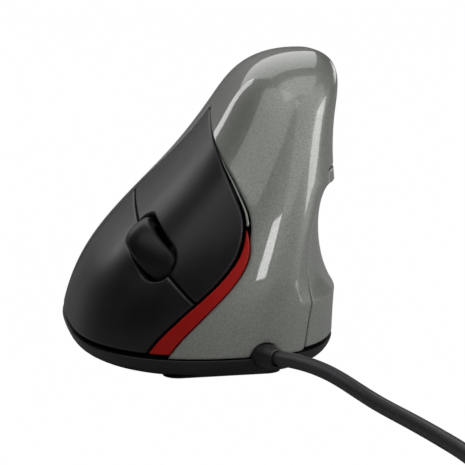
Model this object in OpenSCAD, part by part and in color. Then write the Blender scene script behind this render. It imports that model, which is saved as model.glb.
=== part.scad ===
// Vertical ergonomic computer mouse, right-handed, wired.
// +Z is up, the cable end faces -Y, the keys face -X and the thumb side faces +X.
// The origin is the middle of the footprint, on the surface that the mouse stands on.
// The body is a stack of level slices. Each slice is a rounded outline that reaches to
// side_left, side_right, end_front and end_back at its own height.

/* [Body] */
// Height of the joint between base and shells
seam_z = 6; // [5:0.5:8]
// Wall thickness of the outer shells
wall = 1.8; // [1.4:0.1:2.2]
// Roundness of the outline's back corners, 2 is an ellipse
back_round = 2.5; // [2.2:0.1:3]
// Roundness of the outline's front corners, 2 is an ellipse
front_round = 2.4; // [2.2:0.1:3]
// Depth of the thumb scoop
scoop_depth = 5.2; // [3:0.1:6]
// Height of the deepest line of the thumb scoop
scoop_z = 34; // [32:0.5:36]

/* [Keys] */
// Dark gap between the keys and the trim, in degrees about the body's axis
key_gap = 1.2; // [1:0.05:1.6]
// Width of the gap between the two keys
split_gap = 0.6; // [0.5:0.05:1]
// Y position of the rear end of the keys
key_rear = 14; // [10:1:20]
// Greatest width of the red trim, in degrees about the body's axis
trim_width = 7.2; // [4:0.1:9]
// Width of the thin lip above the red trim, in degrees about the body's axis
lip_width = 1.6; // [1:0.1:2.5]

/* [Wheel] */
// Radius of the scroll wheel
wheel_r = 12.5; // [11.5:0.1:12.8]
// Width of the scroll wheel
wheel_w = 8.2; // [7:0.1:8.6]
// Height by which the wheel stands out of the keys
wheel_out = 4.3; // [3:0.1:4.6]
// Length of the wheel slot
slot_l = 27; // [25:0.5:29]
// Width of the wheel slot
slot_w = 10.6; // [10.2:0.1:11.4]

/* [Cable] */
// Diameter of the cable
cable_d = 3.8; // [3.6:0.1:4]
// Middle radius of the stored coil
coil_r = 21; // [20:0.5:22]

/* [Hidden] */

black = "#1c1b1e";
soft_black = "#242327";
metal_gray = "#80827c";
trim_red = "#8a1813";
board_green = "#1f5a38";
steel = "#b8babd";
amber = "#7a5a2a";
white = "#e8e6e0";

eps = 0.05;
step = 0.002;

// Control values of the slices, from the seam to the crown.
slice_z = [seam_z, 17, 31, 47, 63, 78.5, 78.5];
side_left = [-34.8, -32.3, -22.8, -5.8, 5.2, 12.7, 28.2];
side_right = [33.8, 33.7, 35.5, 32.9, 31.7, 36.2, 28.2];
end_front = [-49.6, -51.1, -49.6, -45.6, -41.1, -34.1, -9.1];
end_back = [54.4, 55.4, 49.4, 38.9, 25.4, 10.4, -9.1];
axis_x = 0.55;
axis_y = 0.4;
knots = [0, 0, 0, 0, 1, 2, 3, 4, 4, 4, 4];

// Outlines on the body: height and angle about the body's axis.
front_edge = [[6, 237], [11, 241.5], [16, 247], [25, 256.5], [32, 260], [40, 257], [46, 249],
  [51, 238], [55, 222], [58, 196], [60.5, 162], [62.5, 141]];
back_edge = [[6, 118], [25, 121], [45, 128], [62.5, 138]];
crest_s = 0.72;
key_s = 0.013;
skirt_s = 0.006;
skirt_drop = 100;
trim_top = 38.5;
lip_top = 60;

// Thumb scoop and panel.
scoop_up = 13.2;
scoop_down = 15.5;
scoop_sharp = [0.68, 0.95];
scoop_front = [-80, 24];
scoop_back = [84, 36];
panel_front = 295;
panel_back = 410;
panel_s = [0.006, 0.55];
button_s = [0.385, 0.452];
button_angle = [[330, 359.5], [363.2, 395]];
button_gap = 1.1;
button_gap_s = 0.008;
thumb_switch_y = [-17, -5];
thumb_switch_z = 42;
thumb_board_x = 21.6;
thumb_switch_h = 3.6;

// The frame of the keys: x runs up across the face, y runs to the back and z points out.
face_at = [-17.5, -30.8, 32.3];
face_tilt = [26, -46, -13.5];
wheel_z = wheel_out - wheel_r;
axle_r = 1.2;
tyre_t = 1.9;
rim_t = 2.1;
board_z = -20;
board_t = 1.6;
switch_size = [5.8, 12.8, 6.5];
switch_x = 12.7;
switch_y = -2;
plunger_h = 0.8;
stem_gap = 0.2;
stem_z = board_z + switch_size[2] + plunger_h + stem_gap;
wheel_switch_y = 19.5;
spring_at = [-5.6, 16.8];
board_x = [-15.6, 16.4];
board_y = [-12, 27];
carriage_gap = 0.9;
carriage_wall = 1.8;
carriage_low = wheel_z - 3.2;
carriage_high = wheel_z + 3;
carriage_rear = 17.5;
plate_t = 2.4;

// Chassis legs: where each one stands on the floor, and where it meets the plate in the keys' frame.
leg_foot = [[-12, -21], [0, -14]];
leg_top = [[[-13.5, 6], [-10.5, 10]], [[9, 18], [13, 22]]];
leg_r = 2;
lug_r = 3.2;

// Base and main board.
base_levels = [[5.7, 0], [4.4, 0.38], [3, 1.25], [1.9, 2.45], [1, 4.1], [0.4, 5.9]];
base_bottom = 0.4;
floor_t = 2.2;
tongue_in = 3.4;
tongue_t = 1.2;
tongue_z = 7.5;
outline_steps = 72;
feet_h = 0.4;
main_z = 8;
main_min = [-20, -8];
main_size = [36.8, 44];
sensor_at = [0, 12];
board_top = main_z + board_t;
chip_size = [10, 12, 2.6];
led_y = 14.5;
led_z = 2.4;
led_r = 1.5;
controller_at = [-17, 3];
controller_size = [8, 10, 1.8];
capacitor_at = [[-13, 17.5], [-13, 24]];
capacitor_r = 2.5;
capacitor_h = 6;
resistor_at = [11, 6];
resistor_size = [3.2, 1.6, 1.2];
crystal_at = [3.5, 28];
crystal_size = [6, 3, 3];
socket_at = [2, -6.5];
socket_size = [9, 5.5, 5.5];
ribbon_x = 8;
ribbon_w = 5;
ribbon_t = 0.45;
ribbon_foot = [6.2, 7.9];
screw_at = [[-14, 40], [20, 28], [23, -24]];
chassis_screw = [-24, -20];
board_post = [[-16, -4], [14, -4], [-16, 32], [14, 32]];
all_screws = concat(screw_at, [chassis_screw]);
thread_r = 1.25;
screw_r = 1.2;
screw_l = 8;
head_r = 2.3;
head_z = base_bottom + 0.65;
boss_r = 2.8;
boss_z = base_bottom + floor_t + 0.2;
boss_top = 66;

// Cable port, route, coil and plug.
port_at = [9.2, -50.2, 6.6];
port_turn = 30;
grommet_r = 2.9;
coil_at = [61.5, -133.5];
coil_z = 0.5;
coil_columns = 3;
coil_rows = 4;
coil_pitch = cable_d + 0.1;
coil_half = coil_columns * coil_pitch / 2;
coil_h = cable_d + (coil_rows - 1) * cable_d * 0.95;
coil_out = coil_r + coil_pitch;
cable_r = cable_d / 2;
lead_route = [[7.2, -46.7, 6.6], [9.2, -50.2, 6.6], [12.5, -54.2, 6.6], [14.7, -56.3, 6.5],
  [17.9, -59.5, 6.1], [21.1, -63.6, 5.3], [23.8, -68.8, 4.2], [26, -74.5, 3.1], [28, -80.7, 2.3], [29.9, -87.5, 1.95],
  [31.7, -95, cable_r], [33.3, -103, cable_r], [34.8, -111.5, cable_r], [36.2, -120, cable_r],
  [36.7, -127, cable_r], [coil_at[0] - coil_out, coil_at[1], cable_r]];
inner_route = [[7.1, -46.5, 6.6], [5.6, -41.5, 6.8], [5.6, -34, 7.4], [6.3, -26, 8.8], [6.5, -18, 10.8],
  [6.5, -11, 12], [6.5, -6.6, 12.2]];
tail_x = coil_at[0] + coil_out;
tail_l = 22;
plug_z = 4.1;
tail_route = [[tail_x, coil_at[1], coil_z + 1.5 * cable_d], [tail_x, coil_at[1] + 5, 5.6],
  [tail_x, coil_at[1] + 11, 4.6], [tail_x, coil_at[1] + 17, plug_z], [tail_x, coil_at[1] + tail_l, plug_z]];
mould_y = coil_at[1] + tail_l;
route_steps = 4;
tube_sides = 8;
mould_size = [15.6, 27, 8.2];
mould_lift = 0.02;
mould_pocket = [8, 6, 4.2];
plug_size = [12, 18.8, 4.5];
plug_y = mould_y + mould_size[1];
plug_wall = 0.35;
latch_x = [2.6, 7.2];
latch_y = 11;
latch_w = 2.2;
tongue_size = [11, 16.5, 1.8];
tie_w = 8;
tie_t = 0.45;
tie_gap = 0.15;

// A smooth curve through few control values: cubic pieces with their ends held.
function ratio(a, b) = b == 0 ? 0 : a / b;
function basis(i, p, t) =
  p == 0
    ? (t >= knots[i] && t < knots[i + 1] ? 1 : 0)
    : ratio(t - knots[i], knots[i + p] - knots[i]) * basis(i, p - 1, t)
      + ratio(knots[i + p + 1] - t, knots[i + p + 1] - knots[i + 1]) * basis(i + 1, p - 1, t);

// One slice at s, 0 at the seam and 1 at the crown: [z, left, right, front, back].
// Below the seam the outline goes straight down.
function slice(s) =
  let (t = min(max(4 * s, 0), 3.9999), w = [for (i = [0:6]) basis(i, 3, t)])
  [slice_z * w + skirt_drop * min(s, 0), side_left * w, side_right * w, end_front * w, end_back * w];
function shrink(c, d) = [c[0], c[1] + d, c[2] - d, c[3] + d, c[4] - d];

function ease(t) = let (u = min(max(t, 0), 1)) u * u * (3 - 2 * u);
function wrap(a) = a > 180 ? wrap(a - 360) : a;
function scoop(z, a) =
  let (up = z > scoop_z, t = (z - scoop_z) / (up ? scoop_up : scoop_down), b = wrap(a))
  abs(t) >= 1 ? 0
  : scoop_depth * pow(1 - t * t, up ? scoop_sharp[0] : scoop_sharp[1])
    * ease((b - scoop_front[0]) / scoop_front[1]) * ease((scoop_back[0] - b) / scoop_back[1]);

// The point of slice c at angle a about the body's axis.
function rim(c, a) =
  let (
    cx = c[1] + axis_x * (c[2] - c[1]),
    cy = c[3] + axis_y * (c[4] - c[3]),
    rx = cos(a) >= 0 ? c[2] - cx : cx - c[1],
    ry = sin(a) >= 0 ? c[4] - cy : cy - c[3],
    n = sin(a) >= 0 ? back_round : front_round,
    r = pow(pow(abs(cos(a)) / rx, n) + pow(abs(sin(a)) / ry, n), -1 / n)
  )
  [cx + r * cos(a) - scoop(c[0], a), cy + r * sin(a), c[0]];

// The same point moved out by d along the surface's normal.
function skin(c, above, a, d) =
  let (
    p = rim(c, a),
    n = cross(rim(c, a + 0.5) - rim(c, a - 0.5), rim(above, a) - p)
  )
  p + n * (d / norm(n));

// The angle of an outline at height z, smooth through the outline's points.
function slope(e, i) =
  i == 0 ? (e[1][1] - e[0][1]) / (e[1][0] - e[0][0])
  : i == len(e) - 1 ? (e[i][1] - e[i - 1][1]) / (e[i][0] - e[i - 1][0])
  : (e[i + 1][1] - e[i - 1][1]) / (e[i + 1][0] - e[i - 1][0]);
function piece_at(e, z, i = 0) = i >= len(e) - 2 || z < e[i + 1][0] ? i : piece_at(e, z, i + 1);
function outline_at(e, z) =
  let (
    i = piece_at(e, z),
    h = e[i + 1][0] - e[i][0],
    t = min(max((z - e[i][0]) / h, 0), 1)
  )
  e[i][1] * (2 * t * t * t - 3 * t * t + 1) + e[i + 1][1] * (3 * t * t - 2 * t * t * t)
    + slope(e, i) * h * (t * t * t - 2 * t * t + t) + slope(e, i + 1) * h * (t * t * t - t * t);

function trim_at(z) = z < trim_top ? trim_width * (1 - pow((z - seam_z) / (trim_top - seam_z), 2.4)) : 0;
function lip_at(z) = z < lip_top ? lip_width : lip_width * max(0.3, 1 - (z - lip_top) / 3);
function band_at(z) = max(trim_at(z), lip_at(z));
function face_lo(z) = outline_at(back_edge, z);
function face_hi(z) = max(outline_at(front_edge, z), face_lo(z) + 2.5);

// A slab of the skin: rows go from s0 to s1, columns from the angle lo(z) to hi(z).
module skin_slab(s0, s1, rows, cols, lo, hi, out, deep) {
  width = cols + 1;
  layer = (rows + 1) * width;
  grid = [for (d = [out, -deep]) for (i = [0:rows])
    let (s = s0 + (s1 - s0) * i / rows, c = slice(s), above = slice(s + step), a0 = lo(c[0]), a1 = hi(c[0]))
    for (j = [0:cols]) skin(c, above, a0 + (a1 - a0) * j / cols, d)];
  cells = [for (i = [0:rows - 1]) for (j = [0:cols - 1]) i * width + j];
  outside = [for (k = cells) each [[k, k + width, k + 1], [k + 1, k + width, k + width + 1]]];
  inside = [for (f = outside) [f[0] + layer, f[2] + layer, f[1] + layer]];
  ends = [for (j = [0:cols - 1]) each [
    [j, j + 1, j + 1 + layer], [j, j + 1 + layer, j + layer],
    [rows * width + j, rows * width + j + 1 + layer, rows * width + j + 1],
    [rows * width + j, rows * width + j + layer, rows * width + j + 1 + layer]]];
  sides = [for (i = [0:rows - 1]) let (k = i * width, m = k + cols) each [
    [k, k + layer, k + width + layer], [k, k + width + layer, k + width],
    [m, m + width + layer, m + layer], [m, m + width, m + width + layer]]];
  polyhedron(concat(grid, [grid[0]]), concat(outside, inside, ends, sides), convexity = 6);
}

// The closed body from the seam to the crown, moved out by d.
module body_solid(d, rows = 34, cols = 72) {
  grid = [for (i = [0:rows])
    let (s = 0.985 * i / rows, c = slice(s), above = slice(s + step))
    for (j = [0:cols - 1]) skin(c, above, 360 * j / cols, d)];
  foot = [for (j = [0:cols - 1]) let (p = grid[j]) [p[0], p[1], d < 0 ? seam_z - 1 : seam_z]];
  top = slice(1);
  points = concat(foot, grid, [[top[1], top[3], top[0] + d]]);
  walls = [for (i = [0:rows]) for (j = [0:cols - 1])
    let (k = i * cols + j, m = i * cols + (j + 1) % cols) each [[k, k + cols, m], [m, k + cols, m + cols]]];
  crown = [for (j = [0:cols - 1])
    [(rows + 1) * cols + j, len(points) - 1, (rows + 1) * cols + (j + 1) % cols]];
  polyhedron(points, concat(walls, crown, [[for (j = [0:cols - 1]) j]]), convexity = 6);
}

// Stacked outlines of the base: each level is [height, distance inside the seam].
module base_solid(levels, inset = 0) {
  c = slice(0);
  rings = [for (v = levels) let (k = shrink(c, v[1] + inset))
    [for (j = [0:outline_steps - 1]) let (p = rim(k, 360 * j / outline_steps)) [p[0], p[1], v[0]]]];
  points = [for (r = rings) each r];
  n = outline_steps;
  walls = [for (i = [0:len(levels) - 2]) for (j = [0:n - 1])
    let (k = i * n + j, m = i * n + (j + 1) % n) each [[k, m, k + n], [m, m + n, k + n]]];
  lid = [for (j = [0:n - 1]) n - 1 - j];
  bottom = [for (j = [0:n - 1]) (len(levels) - 1) * n + j];
  polyhedron(points, concat(walls, [lid, bottom]), convexity = 4);
}

// A smooth route through its points.
function route_point(r, i, t) =
  let (a = r[max(i - 1, 0)], b = r[i], c = r[i + 1], d = r[min(i + 2, len(r) - 1)])
  0.5 * (2 * b + (c - a) * t + (2 * a - 5 * b + 4 * c - d) * t * t + (3 * b - a - 3 * c + d) * t * t * t);
function smooth_route(r) = concat(
  [for (i = [0:len(r) - 2]) for (k = [0:route_steps - 1]) route_point(r, i, k / route_steps)],
  [r[len(r) - 1]]);
function unit(v) = v / norm(v);

// A round tube along points, with flat ends.
module tube(points, r, sides) {
  last = len(points) - 1;
  rings = [for (i = [0:last])
    let (
      ahead = unit(points[min(i + 1, last)] - points[max(i - 1, 0)]),
      side = unit(cross(ahead, [0.01, 0.02, 1])),
      up = cross(side, ahead)
    )
    for (j = [0:sides - 1]) points[i] + r * (side * cos(360 * j / sides) + up * sin(360 * j / sides))];
  walls = [for (i = [0:last - 1]) for (j = [0:sides - 1])
    let (a = i * sides + j, b = i * sides + (j + 1) % sides) each [[a, b, a + sides], [b, b + sides, a + sides]]];
  polyhedron(rings, concat(walls, [[for (j = [0:sides - 1]) sides - 1 - j],
    [for (j = [0:sides - 1]) last * sides + j]]), convexity = 10);
}

module face_frame() {
  translate(face_at) rotate(face_tilt) children();
}

module block(low, high) {
  translate(low) cube(high - low);
}

module as_mesh() {
  resize([0, 0, 0]) union() children();
}

module face_cutter() {
  skin_slab(skirt_s, crest_s + 0.01, 34, 22, function (z) face_lo(z) - 0.5,
    function (z) face_hi(z) + band_at(z) + 0.4, 2, 6);
}

module panel_cutter(grow, out, deep) {
  skin_slab(panel_s[0] - (grow > 0 ? 0.02 : 0), panel_s[1] + grow * 0.01, 34, 22,
    function (z) panel_front - grow * 0.35, function (z) panel_back + grow * 0.35, out, deep);
}

// The cable port: z points out of the body along the cable.
module port_frame() {
  translate(port_at) rotate([90, 0, port_turn]) children();
}

module port_bore(r) {
  port_frame() translate([0, 0, -9]) cylinder(r = r, h = 20, $fn = 24);
}

module base_shell() {
  color(black) {
    difference() {
      as_mesh() difference() {
        union() {
          base_solid(base_levels);
          base_solid([[tongue_z, 0], [seam_z - 2, 0]], tongue_in);
        }
        base_solid([[tongue_z + 1, tongue_in + tongue_t], [3.2, tongue_in + tongue_t],
          [base_bottom + floor_t, tongue_in + tongue_t + 1.4]]);
        difference() {
          base_solid([[seam_z + 4, 0.01], [5.71, 0.01]], -1);
          base_solid([[seam_z + 5, 0], [5, 0]], tongue_in);
        }
        port_bore(grommet_r + 0.1);
      }
      translate([sensor_at[0], sensor_at[1], -1]) cylinder(r = 4.5, h = 6);
      for (p = all_screws) translate([p[0], p[1], -1]) {
        cylinder(r = screw_r + 0.2, h = 6);
        cylinder(r = head_r + 0.3, h = 2.9);
      }
    }
    for (p = board_post) translate([p[0], p[1], base_bottom + floor_t - eps]) difference() {
      cylinder(r = 2.4, h = main_z - base_bottom - floor_t + eps);
      translate([0, 0, 1.2]) cylinder(r = thread_r - 0.15, h = 6);
    }
  }
}

module main_shell() {
  color(metal_gray) as_mesh() difference() {
    union() {
      difference() {
        body_solid(0);
        body_solid(-wall, 26, 60);
      }
      intersection() {
        for (p = screw_at) translate([p[0], p[1], boss_z]) cylinder(r = boss_r, h = boss_top, $fn = 16);
        union() {
          body_solid(-wall / 2, 26, 60);
          block([-40, -40, 0], [40, 45, seam_z + 2]);
        }
      }
    }
    for (p = screw_at) translate([p[0], p[1], 0]) cylinder(r = thread_r, h = 14, $fn = 12);
    face_cutter();
    panel_cutter(1, 2, 4);
    port_bore(grommet_r + 0.1);
    difference() {
      block([-60, -60, -5], [60, 60, seam_z]);
      for (p = screw_at) translate([p[0], p[1], -5]) cylinder(r = boss_r + 1, h = 20, $fn = 16);
    }
  }
}

module thumb_buttons_cut(out, deep) {
  for (a = button_angle)
    skin_slab(button_s[0] - button_gap_s, button_s[1] + button_gap_s, 4, 8,
      function (z) a[0] - button_gap, function (z) a[1] + button_gap, out, deep);
}

module thumb_panel() {
  color(metal_gray) as_mesh() difference() {
    panel_cutter(0, 0, wall);
    thumb_buttons_cut(3, 5);
  }
}

// The black finger side, before it is cut into the keys and the rear panel.
module face_slab(bottom_s) {
  skin_slab(bottom_s, crest_s, 30, 24, function (z) face_lo(z), function (z) face_hi(z) - key_gap, 0, wall);
}

module rear_side_panel() {
  color(soft_black) as_mesh() intersection() {
    face_slab(skirt_s + 0.003);
    block([-60, key_rear + 0.5, 0], [60, 60, 80]);
  }
}

module slot_cutter() {
  hull() for (y = [-1, 1]) translate([0, y * (slot_l - slot_w) / 2, -16]) cylinder(d = slot_w, h = 22, $fn = 40);
}

// One key: side is 1 for the upper key and -1 for the lower key.
module key(side) {
  color(soft_black) as_mesh() difference() {
    union() {
      intersection() {
        face_slab(key_s);
        block([-60, -60, 0], [60, key_rear, 80]);
      }
      intersection() {
        body_solid(-wall / 2, 26, 60);
        face_frame() translate([side * switch_x, switch_y, stem_z]) cylinder(r = 1.5, h = 20, $fn = 16);
      }
    }
    face_frame() {
      block([side > 0 ? -80 : -split_gap / 2, -80, -60], [side > 0 ? split_gap / 2 : 80, 90, 30]);
      slot_cutter();
    }
  }
}

module upper_key() {
  key(1);
}

module lower_key() {
  key(-1);
}

module red_trim() {
  color(trim_red) skin_slab(skirt_s + 0.002, 0.355, 26, 4, function (z) face_hi(z),
    function (z) face_hi(z) + max(trim_at(z), 0.5), 0.15, wall - 0.3);
}

module edge_lip() {
  color(metal_gray) skin_slab(0.372, crest_s, 26, 2, function (z) face_hi(z) + 0.1,
    function (z) face_hi(z) + lip_at(z) - 0.4, -0.1, wall - 0.4);
}

module spin_axis(x0, x1, r) {
  translate([x0, 0, wheel_z]) rotate([0, 90, 0]) cylinder(r = r, h = x1 - x0);
}

module wheel_tyre() {
  rim_r = wheel_r - tyre_t;
  crown = 9;
  color(black) face_frame() translate([0, 0, wheel_z]) rotate([0, 90, 0]) rotate_extrude($fn = 96)
    intersection() {
      translate([rim_r, -wheel_w / 2]) square([wheel_r - rim_r, wheel_w]);
      translate([wheel_r - crown, 0]) circle(r = crown, $fn = 64);
    }
}

module wheel_hub() {
  half = wheel_w / 2;
  web = 1;
  color(black) face_frame() {
    difference() {
      spin_axis(-half + 0.4, half - 0.4, wheel_r - tyre_t);
      spin_axis(-wheel_w, -web, wheel_r - tyre_t - rim_t);
      spin_axis(web, wheel_w, wheel_r - tyre_t - rim_t);
    }
    spin_axis(-half - carriage_gap - carriage_wall - 0.4, half + carriage_gap + carriage_wall + 0.7, axle_r);
    spin_axis(-half - 0.5, half + 0.5, axle_r + 1);
  }
}

module wheel_carriage() {
  arm_in = wheel_w / 2 + carriage_gap;
  arm_out = arm_in + carriage_wall;
  stem_w = 5;
  color(black) face_frame() {
    difference() {
      union() {
        for (m = [0, 1]) mirror([m, 0, 0]) block([arm_in, -3, carriage_low], [arm_out, carriage_rear, carriage_high]);
        block([-arm_out, carriage_rear - 1.5, carriage_low], [arm_out, carriage_rear + 0.1, carriage_high]);
        block([-stem_w / 2, carriage_rear, stem_z], [stem_w / 2, wheel_switch_y + 2.5, wheel_z - 1]);
      }
      spin_axis(-arm_out - 1, arm_out + 1, axle_r + 0.15);
    }
  }
}

module wheel_encoder() {
  side = wheel_w / 2 + carriage_gap + carriage_wall;
  size = [3.2, 8, 7.4];
  color(amber) face_frame() {
    difference() {
      translate([side, -size[1] / 2, wheel_z - 3.9]) cube(size);
      spin_axis(side - 1, side + 2, axle_r + 0.3);
    }
  }
}

module coil_spring(r, wire, turns, h) {
  ring_steps = 16;
  points = [for (i = [0:turns * ring_steps])
    let (a = 360 * i / ring_steps) [r * cos(a), r * sin(a), wire + (h - 2 * wire) * i / (turns * ring_steps)]];
  tube(points, wire, 6);
}

module carriage_spring() {
  color(steel) face_frame() translate([spring_at[0], spring_at[1], board_z])
    coil_spring(1.2, 0.25, 4, carriage_low - 0.9 - board_z);
}

// One chassis leg, from the floor up to the plate.
module chassis_leg(i, plate) {
  hull() {
    face_frame() block([leg_top[i][0][0], leg_top[i][0][1], plate - 2.3],
      [leg_top[i][1][0], leg_top[i][1][1], plate - 0.2]);
    translate([leg_foot[i][0], leg_foot[i][1], boss_z]) cylinder(r = leg_r, h = 1, $fn = 24);
  }
}

module chassis() {
  plate = board_z - board_t;
  color(black) {
    face_frame() difference() {
      block([board_x[0] + 1, board_y[0] + 1, plate - plate_t], [board_x[1] - 1, board_y[1] - 1, plate]);
      block([-slot_w / 2 - 2, board_y[0] + 4, plate - 3], [slot_w / 2 + 2, wheel_switch_y - 6, plate + 1]);
    }
    for (i = [0, 1]) chassis_leg(i, plate);
    difference() {
      hull() for (p = [chassis_screw, leg_foot[0]])
        translate([p[0], p[1], boss_z]) cylinder(r = lug_r, h = 2, $fn = 32);
      translate([chassis_screw[0], chassis_screw[1], 0]) cylinder(r = thread_r, h = 20);
    }
    difference() {
      translate([chassis_screw[0], chassis_screw[1], boss_z]) cylinder(r = boss_r, h = 6);
      translate([chassis_screw[0], chassis_screw[1], 0]) cylinder(r = thread_r, h = 20);
    }
  }
}

module key_board() {
  color(board_green) face_frame() difference() {
    block([board_x[0], board_y[0], board_z - board_t], [board_x[1], board_y[1], board_z]);
    block([-slot_w / 2, board_y[0] + 2, board_z - 3], [slot_w / 2, wheel_switch_y - 7, board_z + 3]);
  }
}

// A micro switch on the key board, centred at x, y, with a bore for its plunger.
module micro_switch(x, y) {
  color(black) face_frame() difference() {
    block([x - switch_size[0] / 2, y - switch_size[1] / 2, board_z],
      [x + switch_size[0] / 2, y + switch_size[1] / 2, board_z + switch_size[2]]);
    translate([x, y, board_z + switch_size[2] - 2.5]) cylinder(r = 1.2, h = 4);
  }
}

module switch_plunger(x, y) {
  color(white) face_frame() translate([x, y, board_z + switch_size[2] - 1.2]) cylinder(r = 0.85, h = 1.2 + plunger_h);
}

module upper_switch() {
  micro_switch(switch_x, switch_y);
}

module lower_switch() {
  micro_switch(-switch_x, switch_y);
}

module wheel_switch() {
  micro_switch(0, wheel_switch_y);
}

module upper_plunger() {
  switch_plunger(switch_x, switch_y);
}

module lower_plunger() {
  switch_plunger(-switch_x, switch_y);
}

module wheel_plunger() {
  switch_plunger(0, wheel_switch_y);
}

module thumb_button(i) {
  top = thumb_board_x + thumb_switch_h + plunger_h + stem_gap;
  a = button_angle[i];
  color(soft_black) as_mesh() union() {
    skin_slab(button_s[0], button_s[1], 6, 12, function (z) a[0], function (z) a[1], 0.7, wall);
    intersection() {
      body_solid(-wall / 2, 26, 60);
      translate([top, thumb_switch_y[i], thumb_switch_z]) rotate([0, 90, 0]) cylinder(r = 1.3, h = 20, $fn = 16);
    }
  }
}

module front_thumb_button() {
  thumb_button(0);
}

module rear_thumb_button() {
  thumb_button(1);
}

module thumb_board() {
  color(board_green) {
    block([thumb_board_x - board_t, thumb_switch_y[0] - 4.2, thumb_switch_z - 6],
      [thumb_board_x, thumb_switch_y[1] + 5, thumb_switch_z + 6]);
  }
}

module thumb_switches() {
  color(black) for (y = thumb_switch_y) difference() {
    block([thumb_board_x, y - 3, thumb_switch_z - 3], [thumb_board_x + thumb_switch_h, y + 3, thumb_switch_z + 3]);
    translate([thumb_board_x + 1, y, thumb_switch_z]) rotate([0, 90, 0]) cylinder(r = 1.2, h = 5);
  }
}

module thumb_plunger(i) {
  color(white) translate([thumb_board_x + thumb_switch_h - 1, thumb_switch_y[i], thumb_switch_z])
    rotate([0, 90, 0]) cylinder(r = 0.85, h = 1 + plunger_h);
}

module front_thumb_plunger() {
  thumb_plunger(0);
}

module rear_thumb_plunger() {
  thumb_plunger(1);
}

module main_board() {
  color(board_green) difference() {
    translate([main_min[0], main_min[1], main_z]) cube([main_size[0], main_size[1], board_t]);
    translate([sensor_at[0], sensor_at[1], main_z - 1]) cylinder(r = 3, h = 4);
    for (p = board_post) translate([p[0], p[1], main_z - 1]) cylinder(r = thread_r + 0.1, h = 4);
  }
}

module sensor_chip() {
  color(black) translate([sensor_at[0] - chip_size[0] / 2, sensor_at[1] - chip_size[1] / 2, board_top])
    cube(chip_size);
}

module sensor_lens() {
  low = base_bottom + floor_t + 0.1;
  color("#c8d4d8") translate([sensor_at[0], sensor_at[1], low]) {
    translate([-7, -9, 0]) cube([14, 22, main_z - low - 0.1]);
    translate([0, 0, -1]) cylinder(r = 3.6, h = 1.5);
  }
}

module sensor_led() {
  color("#c03028") translate([sensor_at[0], sensor_at[1] + led_y, board_top + led_z]) rotate([90, 0, 0]) {
    cylinder(r = led_r, h = 4);
    translate([0, 0, 4]) sphere(r = led_r);
    translate([0, 0, -1]) cylinder(r = led_r + 0.4, h = 1);
  }
}

module led_clip() {
  size = [6.4, 3, 5];
  color(black) difference() {
    translate([sensor_at[0] - size[0] / 2, sensor_at[1] + led_y - 3.9, board_top]) cube(size);
    translate([sensor_at[0], sensor_at[1] + led_y + 1.5, board_top + led_z]) rotate([90, 0, 0])
      cylinder(r = led_r + 0.05, h = 10);
  }
}

module controller_chip() {
  color(black) translate([controller_at[0], controller_at[1], board_top]) cube(controller_size);
}

module board_parts() {
  color(steel) for (p = capacitor_at) translate([p[0], p[1], board_top]) cylinder(r = capacitor_r, h = capacitor_h);
  color(amber) for (i = [0:3]) translate([resistor_at[0], resistor_at[1] + i * 5, board_top]) cube(resistor_size);
  color(steel) translate([crystal_at[0], crystal_at[1], board_top]) cube(crystal_size);
}

// The film from the rear edge of the key board down to the main board.
module board_ribbon() {
  color("#d8d4c8") hull() {
    face_frame() block([ribbon_x - ribbon_w / 2, board_y[1] + eps, board_z - board_t + 0.1],
      [ribbon_x + ribbon_w / 2, board_y[1] + eps + ribbon_t, board_z - 0.4]);
    translate([ribbon_foot[0], ribbon_foot[1], board_top]) cube([ribbon_w, ribbon_t, 1]);
  }
}

module cable_socket() {
  color(white) translate([socket_at[0], socket_at[1], board_top]) difference() {
    cube(socket_size);
    translate([1, -1, 1.2]) cube([socket_size[0] - 2, 4, 3.2]);
  }
}

module inner_lead() {
  color(black) tube(smooth_route(inner_route), 1.3, tube_sides);
}

module cable_grommet() {
  color(black) port_frame() rotate_extrude($fn = 48) difference() {
    polygon([[0, -3.4], [grommet_r, -3.4], [grommet_r, 1.6], [2.5, 3.6], [0, 3.6]]);
    translate([-1, -10]) square([1 + cable_r + 0.06, 20]);
  }
}

module case_screws() {
  color(steel) for (p = all_screws) translate([p[0], p[1], head_z]) difference() {
    union() {
      cylinder(r = head_r, h = 0.8);
      cylinder(r = screw_r, h = screw_l);
    }
    translate([-1.4, -0.25, -0.5]) cube([2.8, 0.5, 0.9]);
    translate([-0.25, -1.4, -0.5]) cube([0.5, 2.8, 0.9]);
  }
}

module board_screws() {
  color(steel) for (p = board_post) translate([p[0], p[1], main_z + board_t]) difference() {
    union() {
      cylinder(r = 2, h = 1.3);
      translate([0, 0, -5]) cylinder(r = 1.05, h = 6);
    }
    translate([-1.3, -0.25, 0.7]) cube([2.6, 0.5, 1]);
  }
}

// A flat pad with round ends, l long and w wide.
module pad(l, w, h) {
  linear_extrude(h) {
    square([l - w, w], center = true);
    for (x = [-1, 1]) translate([x * (l - w) / 2, 0]) circle(d = w);
  }
}

module glide_feet() {
  color("#2c2b2e") {
    translate([0, -39, 0]) pad(30, 8, feet_h - 0.02);
    translate([3, 41, 0]) pad(20, 8, feet_h - 0.02);
    translate([-27, 4, 0]) rotate([0, 0, 90]) pad(22, 6, feet_h - 0.02);
    translate([27, 4, 0]) rotate([0, 0, 90]) pad(22, 6, feet_h - 0.02);
  }
}

// The ring that the stored turns fill, from low to high and grown by grow.
module coil_ring(low, high, grow) {
  translate([coil_at[0], coil_at[1], 0]) rotate_extrude($fn = 96)
    translate([coil_r - coil_half - grow, low]) square([2 * (coil_half + grow), high - low]);
}

module cable() {
  color(black) as_mesh() difference() {
    union() {
      tube(smooth_route(lead_route), cable_r, tube_sides);
      tube(smooth_route(tail_route), cable_r, tube_sides);
    }
    coil_ring(-1, coil_z + coil_h, 0.02);
  }
}

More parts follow.
